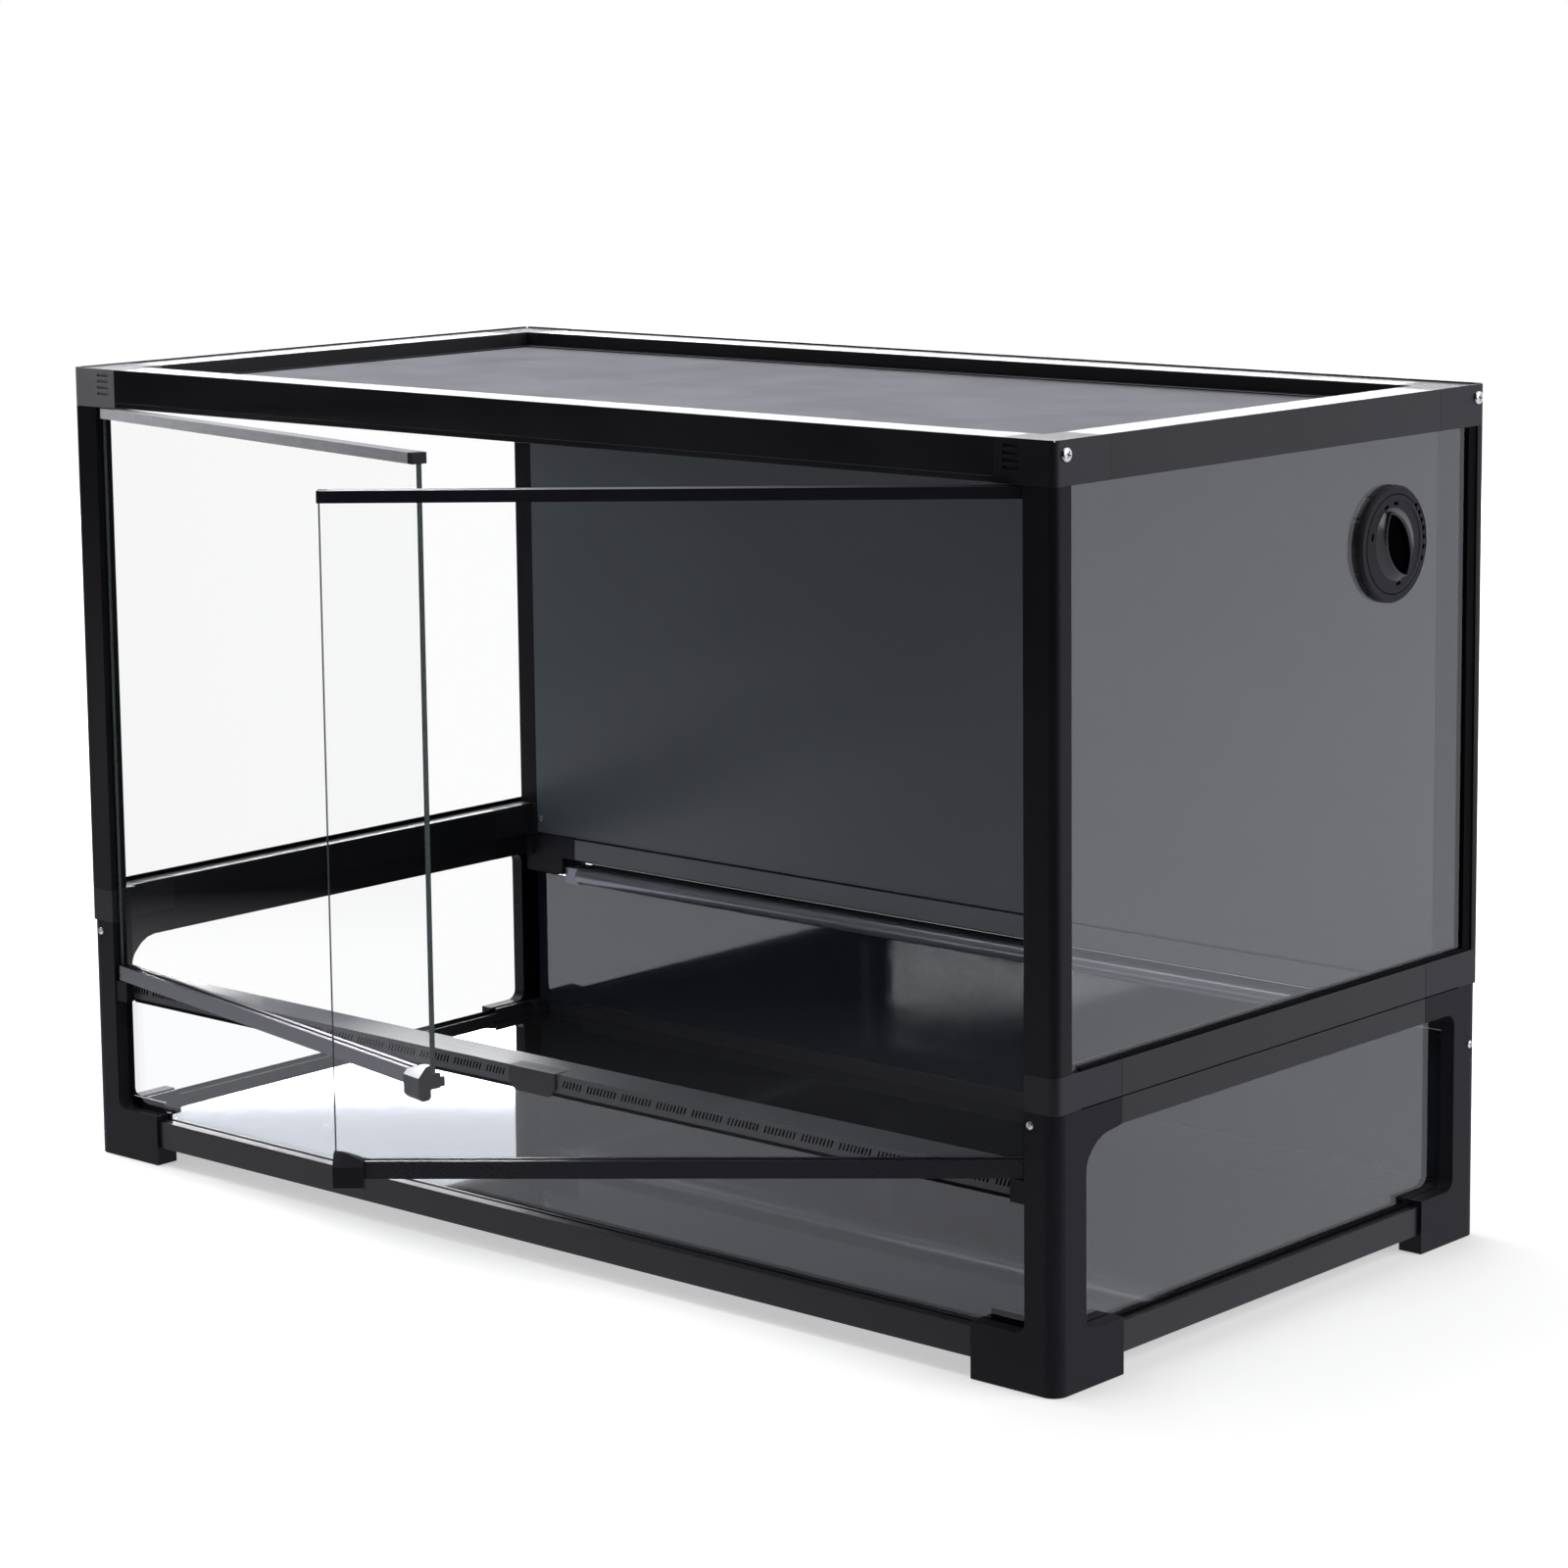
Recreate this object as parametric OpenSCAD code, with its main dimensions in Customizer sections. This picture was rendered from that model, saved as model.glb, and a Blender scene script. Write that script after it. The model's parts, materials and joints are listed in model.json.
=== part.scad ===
/* [Overall] */
// Width over the corner pieces
width = 912; // [700:2:1200]
// Depth of the tank, doors closed
depth = 470; // [400:2:600]
// Height from the floor to the top frame
height = 590; // [520:2:760]

/* [Levels] */
// Height of the lower tank, up to the seam under the middle band
lower_h = 178; // [160:1:220]
// Height of the middle band
mid_h = 24; // [20:1:34]
// Height of the top frame
top_h = 28; // [24:1:36]
// Height of the rails along the tank's upper edge
tank_rail_h = 17; // [14:1:24]
// Height of the feet and their arms
foot_h = 37; // [34:1:46]

/* [Corners] */
// Length of the foot arms
foot_arm = 68; // [56:1:90]
// Length of the side arms of the lower and middle corners
side_arm = 66; // [56:1:90]
// Length of the rear arms
rear_arm = 70; // [60:1:90]
// Length of the top corners' arms across the front and rear
top_arm_x = 47; // [44:1:70]
// Length of the top corners' arms along the sides
top_arm_y = 55; // [46:1:80]
// Width of a post across the front
post_w = 25; // [22:1:32]
// Depth of a lower post along the side
post_d = 30; // [28:1:36]
// Radius of the lower corners' outer edge
lower_round = 10; // [4:1:12]
// Radius of the upper frame's outer edges
frame_round = 6; // [2:1:8]

/* [Glass] */
// Thickness of the tank glass
tank_glass = 5; // [4:0.5:6]
// Thickness of the upper side panes
pane_t = 4; // [3:0.5:4]
// Thickness of a door pane
door_glass = 4; // [3:0.5:5]

/* [Doors] */
// How far the left door stands open at rest, in degrees
left_open = 11.2; // [0:0.1:90]
// How far the right door stands open at rest, in degrees
right_open = 39.6; // [0:0.1:90]
// Thickness of the door channels
channel_t = 11; // [8:0.5:11]
// Height of the channel over a door pane
top_channel_h = 7.5; // [6:0.5:10]
// Height of the channel under a door pane
bottom_channel_h = 11; // [9:0.5:14]
// Length of the pull block at the free lower corner
pull_l = 19; // [16:1:26]

/* [Vent] */
// Distance of the vent's centre from the rear face
vent_from_rear = 110.5; // [90:0.5:160]
// Height of the vent's centre
vent_z = 492; // [420:1:500]
// Outer radius of the vent flange
vent_r = 39; // [36:1:44]
// Radius of the turning dial
dial_r = 33; // [30:0.5:33]
// Turn of the grip away from upright, in degrees
grip_turn = 24; // [0:1:45]

/* [Hidden] */
$fn = 48;

half_w = width / 2;
half_d = depth / 2;
mid_top = lower_h + mid_h;
top_z = height - top_h;
rail_z = lower_h - tank_rail_h;
eps = 1;                         // overrun of a cutter past the face it opens

// Lower tank section, distances measured inwards from the outer face
base_in = 2.5;                   // base rails stand behind the feet
base_z = [13, 33];               // base rails' lower and upper edge
arm_t = 18;                      // thickness of arms and tank rails
glass_in = 10.5;                 // outer face of the tank glass
glass_bite = 7;                  // how far the side glass runs into the tank rails
glass_z = 25;                    // lower edge of the tank glass
glass_out = glass_in + tank_glass;
rail_start = post_d;             // base rails begin here, inside the foot arms
panel_z = 23;                    // underside of the base panel
panel_t = 5;
ledge_in = 26;                   // the ledge that carries the base panel
lip_top = 39;                    // rear rail's lip inside the tank
rear_t = 27;                     // thickness of the rear arms and rear tank rail
block_z = 147;                   // underside of the block beside each rear post
block_l = 56;                    // and how far it reaches across
clip_h = 7;                      // glass clips on the front feet
edge_z = [140, 154];             // rear edge bar's lower and upper edge
edge_r = (edge_z[1] - edge_z[0]) / 2;
edge_back = 5;
edge_lap = 3;                    // how far the rear panel runs into the bar
skirt_t = 5;

// Ventilation strip
strip_z = [121, 134];
strip_in = [8, 38];
strip_wall = 2.5;
lug_l = 12;                      // hinge lug beside each front post
slot_pitch = 3.1;
slot_w = 1.5;
slots_in_group = 9;
group_pitch = 32;

// Upper section
band_t = 20;                     // thickness of the middle band
reveal = 0.8;                    // shadow line under the middle band
pane_in = 3;                     // outer face of the side panes
pane_bite = 4;
post_front_d = 16;
post_rear_d = 24;
seal_d = [10, 19];               // groove for the seal beside the rear posts
rail_w = 36;                     // width of the top frame
ledge_w = 6;
screen_z = 576;
screen_t = 3;
screen_edge = 8;
screen_half = [half_w - rail_w, half_d - rail_w];
back_t = 4;
panel_screw = [half_w - post_w - 4, half_d - band_t - back_t, lower_h + 12];
wall = 2;                        // wall of the hollow top rails
tongue_l = 20;
tongue_gap = 0.3;

// Doors: each is drawn closed, from its hinge axis, and then swung open
hinge_x = half_w - post_w - 6;
hinge_in = 6.5;
pin_r = 2;
pin_gap = 0.05;
pin_bite = 5.5;
door_z = [strip_z[1] + 1, top_z - 1];
door_l = hinge_x - 1.5;
channel_grip = 4;                // how far a pane runs into its channels
pane_from = -4.5;                // a pane begins just behind its hinge axis
pane_z = [door_z[0] + bottom_channel_h - channel_grip, door_z[1] - top_channel_h + channel_grip];
pull_low = 7;                    // the pull hangs this far below the door
pull_out = 12;                   // and stands this far out of the door's middle plane
pull_rise = 6;

// Vent
vent_y = half_d - vent_from_rear;
vent_hole_r = dial_r - 2;
tube_r = vent_hole_r - 0.2;
vent_face = half_w - pane_in;    // outer face of the right pane
flange_t = 4.5;
flange_plate = 1.5;
dial_t = 4;
spindle_r = 4;
grip_base = [25, 21];            // half length and half width of the grip at the dial
grip_top = [23, 12];
grip_hollow = [20.5, 10];
grip_floor = 1.2;                // what is left of the dial under the hollow
grip_h = 4;
slot_turns = [-2, 22, 75, 190];  // air slots through the dial, turned from upright

// Screws
top_screw_in = 10.5;
top_screw_z = height - 9;
top_screw_r = 4.5;
small_screw_r = 2.6;
small_screw_z = 170;
side_screw_z = 136;
side_screw_in = 11;
screw_l = 8;

frame_colour = [0.03, 0.03, 0.035];
moulding = [0.05, 0.05, 0.055];
clear = [0.8, 0.9, 0.88, 0.25];
smoked = [0.1, 0.1, 0.12];

// Puts drawings made from the outer corner, inwards, at the corner named by two signs
module at_corner(sx, sy)
    translate([sx * half_w, sy * half_d, 0])
        mirror([sx > 0 ? 1 : 0, 0, 0])
            mirror([0, sy > 0 ? 1 : 0, 0])
                children();

// Extrudes a section (inwards, up) along a side, and across the front or rear
module along_side(length) rotate([90, 0, 0]) mirror([0, 0, 1]) linear_extrude(length) children();
module across(length) rotate([90, 0, 90]) linear_extrude(length) children();

module side_run(sx, start) {
    at_corner(sx, -1) translate([0, start, 0]) along_side(depth - 2 * start) children();
}

module cross_run(sy, start) {
    at_corner(-1, sy) translate([start, 0, 0]) across(width - 2 * start) children();
}

module box(low, high) translate(low) cube(high - low);

// A rectangle whose corner at the origin is round
module corner_plan(w, d, r) {
    translate([r, 0]) square([w - r, d]);
    translate([0, r]) square([w, d - r]);
    translate([r, r]) circle(r);
}

// A web that fills the inside corner of a window, in the plane (along, up)
module window_web(r) difference() {
    square(r);
    translate([r, r]) circle(r);
}

// The long web under a front side arm, as (along, up) from the window's upper corner
front_web = [[-1, 1], [-1, -24], [0, -24], [0.7, -19], [2.5, -14.5], [6, -10.5], [10, -6.5],
    [16, -3.2], [24, -1.6], [31, -0.8], [36, 0], [36, 1]];

module web_at(along, up, r, turned)
    translate([0, along, up]) mirror([0, 0, turned ? 1 : 0])
        rotate([90, 0, 90]) linear_extrude(glass_in) window_web(r);

// Lower tank ---------------------------------------------------------------------------

module small_screw_hole(u, v, z, on_side)
    translate([u, v, z]) rotate(on_side ? [0, 90, 0] : [-90, 0, 0])
        translate([0, 0, -eps]) cylinder(r = small_screw_r / 2, h = screw_l + eps);

// Left front screws sit near the outer edge of the face, right front ones near the inner
function front_screw_u(sx) = sx < 0 ? 11.5 : post_w - 5;

module lower_corner(sx, sy) color(moulding) at_corner(sx, sy) difference() {
    front = sy < 0;
    union() {
        // Two thin legs that the glass stands behind, solid only at the foot and the top
        linear_extrude(lower_h) difference() {
            corner_plan(post_w, post_d, lower_round);
            translate([glass_in, glass_in]) square(post_d);
        }
        linear_extrude(foot_h) corner_plan(post_w, post_d, lower_round);
        translate([0, 0, rail_z]) linear_extrude(tank_rail_h) corner_plan(post_w, post_d, lower_round);
        linear_extrude(foot_h) corner_plan(foot_arm, arm_t, lower_round);
        linear_extrude(foot_h) corner_plan(arm_t, foot_arm, lower_round);
        box([0, post_d - eps, rail_z], [arm_t, side_arm, lower_h]);
        web_at(post_d, foot_h, 8, false);
        if (!front) web_at(post_d, rail_z, 9, true);
        if (front) {
            mirror([1, -1, 0]) web_at(post_w, foot_h, 8, false);
            translate([0, post_d, rail_z]) rotate([90, 0, 90])
                linear_extrude(glass_in) polygon(front_web);
            box([post_w - eps, 1, strip_z[0] - 2], [post_w + lug_l, glass_in, strip_z[1]]);
            box([post_w, glass_out, foot_h - eps], [foot_arm - 6, arm_t, foot_h + clip_h]);
        } else {
            box([post_w - eps, 0, rail_z], [rear_arm, rear_t, lower_h]);
            box([glass_out, 0, block_z], [block_l, rear_t, rail_z + eps]);
            box([block_l - eps, 0, edge_z[1]], [rear_arm, skirt_t, rail_z + eps]);
        }
    }
    // Pockets for the base rails
    box([base_in, rail_start, base_z[0]], [arm_t + eps, foot_arm + eps, base_z[1]]);
    box([rail_start, base_in, base_z[0]], [foot_arm + eps, arm_t + eps, base_z[1]]);
    // Grooves for the side glass and the front or rear glass
    box([glass_in, glass_in, glass_z], [glass_out, side_arm + 4, rail_z + glass_bite]);
    box([glass_in, glass_in, glass_z],
        [foot_arm + 4, glass_out, front ? strip_z[0] + 2 : edge_z[0] + edge_lap]);
    if (front) {
        translate([half_w - hinge_x, hinge_in, strip_z[1] - pin_bite - 1])
            cylinder(r = pin_r + pin_gap, h = pin_bite + 1 + eps);
        small_screw_hole(front_screw_u(sx), 0, small_screw_z, false);
    } else {
        small_screw_hole(0, side_screw_in, side_screw_z, true);
    }
}

// Section of a base rail: glass groove above, hollow core, ledge for the base panel
module base_rail_section() difference() {
    union() {
        translate([base_in, base_z[0]]) square([arm_t - base_in, base_z[1] - base_z[0]]);
        translate([arm_t - eps, panel_z - 2]) square([ledge_in - arm_t + eps, 2]);
    }
    translate([glass_in, glass_z]) square([tank_glass, base_z[1]]);
    translate([base_in + wall, base_z[0] + wall])
        square([glass_in - base_in - 2 * wall, base_z[1] - base_z[0] - 2 * wall]);
}

module base_rail_cross(sy) color(frame_colour) cross_run(sy, rail_start) base_rail_section();
module base_rail_side(sx) color(frame_colour) side_run(sx, rail_start) base_rail_section();

// The rear rail is the front one with a bright lip standing inside the tank
module base_rail_rear() color(frame_colour) {
    cross_run(1, rail_start) base_rail_section();
    cross_run(1, foot_arm) translate([glass_out, base_z[1] - 0.01])
        square([arm_t - glass_out, lip_top - base_z[1]]);
}

module base_panel() color(smoked) difference() {
    box([-half_w + arm_t, -half_d + arm_t, panel_z], [half_w - arm_t, half_d - arm_t, panel_z + panel_t]);
    for (sx = [-1, 1], sy = [-1, 1]) at_corner(sx, sy)
        box([0, 0, panel_z - eps], [post_w, post_d, panel_z + panel_t + eps]);
}

module glass_section(top) translate([glass_in, glass_z]) square([tank_glass, top - glass_z]);

// The side glass runs the full depth and the front glass and rear panel stand between
module tank_glass_front() color(clear) cross_run(-1, glass_out) glass_section(strip_z[0] + 2);
module tank_glass_side(sx) color(clear) side_run(sx, glass_in) glass_section(rail_z + glass_bite);
module tank_panel_rear() color(smoked) cross_run(1, glass_out) glass_section(edge_z[0] + edge_lap);

module tank_rail_side(sx) color(frame_colour) side_run(sx, side_arm) difference() {
    translate([0, rail_z]) square([arm_t, tank_rail_h]);
    translate([glass_in, rail_z - eps]) square([tank_glass, glass_bite + eps]);
}

module tank_rail_rear() color(frame_colour) cross_run(1, rear_arm) {
    translate([0, rail_z]) square([rear_t, tank_rail_h]);
    translate([0, edge_z[1]]) square([skirt_t, rail_z - edge_z[1] + eps]);
}

// Round-nosed bar clipped over the rear panel, with a block at each end
module rear_edge_bar() color(frame_colour) {
    difference() {
        union() {
            cross_run(1, rear_arm) {
                translate([edge_back, edge_z[0]]) square([15, edge_z[1] - edge_z[0]]);
                translate([edge_back + 15, edge_z[0] + edge_r]) circle(edge_r);
            }
            for (sx = [-1, 1]) at_corner(sx, 1)
                box([block_l, edge_back, edge_z[0]], [rear_arm + eps, 24, edge_z[1] - 1]);
        }
        cross_run(1, 0) translate([glass_in, edge_z[0] - eps]) square([tank_glass, edge_lap + eps]);
    }
}

// Black strips along the lower edge of the side glass and the upper edge of the front glass
module glass_gaskets() color("black") {
    for (sx = [-1, 1]) side_run(sx, foot_arm)
        translate([glass_in - 1.5, base_z[1]]) square([1.5, 2]);
    cross_run(-1, post_w + lug_l) translate([glass_in - 1.5, strip_z[0] - 3]) square([1.5, 3]);
}

function slots_clear(x) = abs(x) > 26 && abs(x) < half_w - post_w - lug_l - 2;

module strip_front() difference() {
    half = half_w - post_w - lug_l;
    translate([-half, strip_z[0]]) square([2 * half, strip_z[1] - strip_z[0]]);
    groups = floor(half / group_pitch);
    for (g = [-groups : groups], i = [0 : slots_in_group - 1]) {
        x = g * group_pitch + (i - (slots_in_group - 1) / 2) * slot_pitch;
        if (slots_clear(x)) translate([x, strip_z[0] + 7]) polygon([
            [-slot_w / 2 - 1, -2.5], [slot_w / 2 - 1, -2.5], [slot_w / 2 + 1, 2.5], [-slot_w / 2 + 1, 2.5]]);
    }
}

module vent_strip() color(frame_colour) {
    translate([0, -half_d + strip_in[0], 0]) rotate([90, 0, 0]) mirror([0, 0, 1])
        linear_extrude(strip_wall) strip_front();
    cross_run(-1, post_w + lug_l) {
        translate([strip_in[0] + strip_wall - 0.01, strip_z[1] - wall])
            square([strip_in[1] - strip_in[0] - strip_wall, wall]);
        translate([strip_in[1] - wall, strip_z[1] - 7]) square([wall, 7]);
        translate([strip_in[0] + strip_wall - 0.01, strip_z[0] + 2]) square([arm_t - glass_in, 1.2]);
        translate([glass_out, strip_z[0]]) square([arm_t - glass_out, 3]);
    }
}

// Catch for both doors, with two shallow marks on its upper face
module door_catch() color(moulding) difference() {
    front_y = -half_d + strip_in[0];
    union() {
        translate([0, front_y, 0]) rotate([90, 0, 0]) linear_extrude(2)
            polygon([[-22, 134.4], [22, 134.4], [22, 124], [16, 117.5], [-16, 117.5], [-22, 124]]);
        box([-22, front_y - 1, strip_z[1]], [22, front_y + 12, 134.4]);
    }
    for (sx = [-1, 1]) translate([sx * 10, front_y + 4, 134.6]) cube([13, 2, 0.6], center = true);
}

module panel_screw_holes()
    for (sx = [-1, 1]) translate([sx * panel_screw[0], panel_screw[1] - eps, panel_screw[2]])
        rotate([-90, 0, 0]) cylinder(r = small_screw_r / 2, h = screw_l + eps);

module screw(r) {
    cylinder(r = r, h = r * 0.5);
    translate([0, 0, -screw_l]) cylinder(r = r / 2, h = screw_l + 0.01);
}

module connector_screws() color("silver") {
    for (sx = [-1, 1]) {
        for (sy = [-1, 1]) at_corner(sx, sy)
            translate([0, top_screw_in, top_screw_z]) rotate([0, -90, 0]) screw(top_screw_r);
        at_corner(sx, -1) translate([front_screw_u(sx), 0, small_screw_z])
            rotate([90, 0, 0]) screw(small_screw_r);
        at_corner(sx, 1) translate([0, side_screw_in, side_screw_z])
            rotate([0, -90, 0]) screw(small_screw_r);
        translate([sx * panel_screw[0], panel_screw[1], panel_screw[2]])
            rotate([90, 0, 0]) screw(small_screw_r);
    }
}

// Middle band --------------------------------------------------------------------------

// Where the side panes begin and end inside the front and rear posts
function pane_start(sy) = sy < 0 ? 9 : 12;

module band_section() difference() {
    translate([0, lower_h]) square([band_t, mid_h]);
    translate([-eps, lower_h - eps]) square([reveal + eps, reveal + eps]);
    translate([pane_in, mid_top - pane_bite]) square([pane_t, pane_bite + eps]);
}

module mid_corner(sx, sy) color(moulding) at_corner(sx, sy) difference() {
    union() {
        translate([0, 0, lower_h]) linear_extrude(mid_h) corner_plan(post_w, post_w, frame_round);
        box([0, post_w - eps, lower_h], [band_t, side_arm, mid_top]);
        if (sy > 0) box([post_w - eps, 0, lower_h], [rear_arm, band_t, mid_top]);
    }
    box([-eps, post_w, lower_h - eps], [reveal, side_arm + eps, lower_h + reveal]);
    box([pane_in, pane_start(sy), mid_top - pane_bite], [pane_in + pane_t, side_arm + eps, mid_top + eps]);
    if (sy > 0) translate([half_w - panel_screw[0], half_d - panel_screw[1], panel_screw[2]])
        rotate([90, 0, 0]) cylinder(r = small_screw_r / 2, h = screw_l);
}

module mid_rail_side(sx) color(frame_colour) side_run(sx, side_arm) band_section();
module mid_rail_rear() color(frame_colour)
    cross_run(1, rear_arm) translate([0, lower_h]) square([band_t, mid_h]);

// Upper frame --------------------------------------------------------------------------

module post(sx, sy) color(frame_colour) at_corner(sx, sy)
    translate([0, 0, mid_top]) linear_extrude(top_z - mid_top) difference() {
        d = sy < 0 ? post_front_d : post_rear_d;
        corner_plan(post_w, d, frame_round);
        translate([pane_in, pane_start(sy)]) square([pane_t, d]);
        if (sy > 0) translate([-eps, seal_d[0]]) square([pane_in + eps, d]);
    }

module tongue(length, start) box([9 + tongue_gap, start, top_z + wall + tongue_gap],
    [rail_w - wall - tongue_gap, start + length, height - wall - tongue_gap]);

module top_corner(sx, sy) color(moulding) at_corner(sx, sy) difference() {
    union() {
        translate([0, 0, top_z]) linear_extrude(top_h) {
            corner_plan(top_arm_x, rail_w, frame_round);
            corner_plan(rail_w, top_arm_y, frame_round);
        }
        tongue(tongue_l + eps, top_arm_y - eps);
        mirror([1, -1, 0]) tongue(tongue_l + eps, top_arm_x - eps);
    }
    box([pane_in, pane_start(sy), top_z - eps], [pane_in + pane_t, top_arm_y + eps, top_z + pane_bite]);
    if (sy < 0) {
        translate([half_w - hinge_x, hinge_in, top_z - eps])
            cylinder(r = pin_r + pin_gap, h = pin_bite + 1 + eps);
        for (i = [0 : 3]) translate([28, -eps, top_z + 9 + 4.5 * i]) cube([12, 1 + eps, 2]);
    }
    translate([-eps, top_screw_in, top_screw_z]) rotate([0, 90, 0])
        cylinder(r = top_screw_r / 2, h = screw_l + eps);
}

module top_rail_section(grooved, stepped) difference() {
    union() {
        translate([0, top_z]) square([rail_w, top_h]);
        translate([rail_w - eps, screen_z - 3]) square([ledge_w + eps, 3]);
    }
    translate([9, top_z + wall]) square([rail_w - 9 - wall, top_h - 2 * wall]);
    if (grooved) translate([pane_in, top_z - eps]) square([pane_t, pane_bite + eps]);
    if (stepped) translate([-eps, top_z - eps]) square([1 + eps, 4 + eps]);
}

module top_rail_cross(sy) color(frame_colour)
    cross_run(sy, top_arm_x) top_rail_section(false, sy < 0);
module top_rail_side(sx) color(frame_colour) side_run(sx, top_arm_y) top_rail_section(true, false);

module side_pane(sx) color(clear) difference() {
    at_corner(sx, -1) box([pane_in, pane_start(-1), mid_top - pane_bite],
        [pane_in + pane_t, depth - pane_start(1), top_z + pane_bite]);
    if (sx > 0) translate([vent_face - pane_t - eps, vent_y, vent_z]) rotate([0, 90, 0])
        cylinder(r = vent_hole_r, h = pane_t + 2 * eps);
}

// Black seals under the side panes and in the groove beside the rear posts
module pane_seals() color("black") for (sx = [-1, 1]) {
    at_corner(sx, -1) box([1, post_w, mid_top], [pane_in, depth - seal_d[1], mid_top + 2.5]);
    at_corner(sx, 1) box([1.2, seal_d[0], mid_top], [pane_in, seal_d[1], top_z]);
}

module back_panel() color(smoked) difference() {
    box([-half_w + post_w, half_d - band_t - back_t, lower_h + 0.5],
        [half_w - post_w, half_d - band_t, top_z]);
    panel_screw_holes();
}

module screen_plate(inset, z, t) box([-screen_half[0] + inset, -screen_half[1] + inset, z],
    [screen_half[0] - inset, screen_half[1] - inset, z + t]);

module screen_frame() color(frame_colour) difference() {
    screen_plate(0, screen_z, screen_t);
    screen_plate(screen_edge, screen_z - eps, screen_t + 2 * eps);
}

module screen_mesh() color("dimgray") screen_plate(screen_edge, screen_z + 1, 1);

// Doors --------------------------------------------------------------------------------
// Drawn with the hinge axis on Z, the pane running along +X, and -Y as the door's outer side

module swing(sx) {
    open = sx < 0 ? left_open : right_open;
    translate([sx * hinge_x, -half_d + hinge_in, 0])
        mirror([sx > 0 ? 1 : 0, 0, 0]) rotate([0, 0, -open]) children();
}

module channel_plan(length) {
    circle(channel_t / 2);
    translate([0, -channel_t / 2]) square([length, channel_t]);
}

module pane_solid() box([pane_from, -door_glass / 2, pane_z[0]], [door_l - 0.5, door_glass / 2, pane_z[1]]);

module pin_bores() cylinder(r = pin_r, h = height);

module door_pane(sx) color(clear) swing(sx) pane_solid();

module top_channel(sx) color(frame_colour) swing(sx) difference() {
    translate([0, 0, door_z[1] - top_channel_h]) linear_extrude(top_channel_h) channel_plan(door_l);
    pane_solid();
    pin_bores();
}

module bottom_channel(sx) color(frame_colour) swing(sx) difference() {
    translate([0, 0, door_z[0]]) linear_extrude(bottom_channel_h) channel_plan(door_l - pull_l);
    pane_solid();
    pin_bores();
}

// Pull block: a lug below, a thumb slope above, and a catch tab on the inner side
module door_pull(sx) color(moulding) swing(sx) difference() {
    translate([door_l - pull_l, 0, door_z[0]]) {
        rotate([90, 0, 90]) linear_extrude(pull_l) polygon([
            [channel_t / 2, 0], [channel_t / 2, bottom_channel_h], [-door_glass / 2, bottom_channel_h],
            [-door_glass / 2, bottom_channel_h + pull_rise],
            [-pull_out / 2, bottom_channel_h + pull_rise - 1],
            [-pull_out, bottom_channel_h - 2], [-pull_out, -pull_low + 3], [-pull_out + 3, -pull_low],
            [-4, -pull_low], [-2, -pull_low + 2], [-2, 0]]);
        box([pull_l - 9, channel_t / 2 - eps, 1], [pull_l, channel_t / 2 + 3.5, 8]);
    }
    pane_solid();
}

module door_pins(sx) color("silver") swing(sx) {
    translate([0, 0, pane_z[1]]) cylinder(r = pin_r, h = door_z[1] + pin_bite - pane_z[1]);
    translate([0, 0, door_z[0] - pin_bite]) cylinder(r = pin_r, h = pane_z[0] - door_z[0] + pin_bite);
}

// Side vent ----------------------------------------------------------------------------
// Drawn on +Z, from the pane's outer face

module at_vent() translate([vent_face, vent_y, vent_z]) rotate([0, 90, 0]) children();

module vent_flange() color(moulding) at_vent() difference() {
    union() {
        cylinder(r = vent_r, h = flange_t - 1.5);
        translate([0, 0, flange_t - 1.5]) cylinder(r1 = vent_r, r2 = vent_r - 1.5, h = 1.5);
        translate([0, 0, -pane_t - 8]) cylinder(r = tube_r, h = pane_t + 8 + eps);
    }
    translate([0, 0, flange_plate]) cylinder(r = dial_r + 0.4, h = flange_t);
    translate([0, 0, -pane_t - 8 - eps]) cylinder(r = tube_r - 2, h = pane_t + 8 + eps);
    translate([0, 0, -eps]) cylinder(r = spindle_r + pin_gap, h = flange_t);
    for (a = [30 : 60 : 330]) rotate([0, 0, a]) translate([18, 0, -eps]) cylinder(r = 5.5, h = flange_t);
}

module vent_nut() color(moulding) at_vent() translate([0, 0, -pane_t - 6]) difference() {
    cylinder(r = vent_r - 2, h = 6);
    translate([0, 0, -eps]) cylinder(r = tube_r, h = 6 + 2 * eps);
    for (a = [0 : 30 : 330]) rotate([0, 0, a]) translate([vent_r - 1, 0, -eps])
        cylinder(r = 2, h = 6 + 2 * eps);
}

// Almond outline from its half length and half width
module almond(size) {
    r = (size[0] * size[0] + size[1] * size[1]) / (2 * size[1]);
    intersection() {
        translate([0, r - size[1]]) circle(r);
        translate([0, size[1] - r]) circle(r);
    }
}

module vent_dial() color(moulding) at_vent() translate([0, 0, flange_plate + 0.5]) {
    difference() {
        union() {
            cylinder(r = dial_r, h = dial_t);
            rotate([0, 0, 180 + grip_turn]) hull() {
                translate([0, 0, dial_t - 0.5]) linear_extrude(0.5) almond(grip_base, $fn = 32);
                translate([0, 0, dial_t + grip_h - 0.5]) linear_extrude(0.5) almond(grip_top, $fn = 32);
            }
        }
        rotate([0, 0, 180 + grip_turn]) translate([0, 0, grip_floor])
            linear_extrude(dial_t + grip_h) almond(grip_hollow);
        for (a = slot_turns) rotate([0, 0, a]) translate([-dial_r + 5, -2.5, -eps])
            cube([2.2, 5, dial_t + 2 * eps]);
    }
    translate([0, 0, -8]) cylinder(r = spindle_r, h = 8.01);
}

// Parts --------------------------------------------------------------------------------
// The origin is the centre of the footprint, doors included, so the tank stands behind it

function reach(open) = half_d - hinge_in + door_l * sin(open) + pull_out * cos(open);

module in_frame() translate([0, (max(reach(left_open), reach(right_open)) - half_d) / 2, 0]) children();

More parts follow.
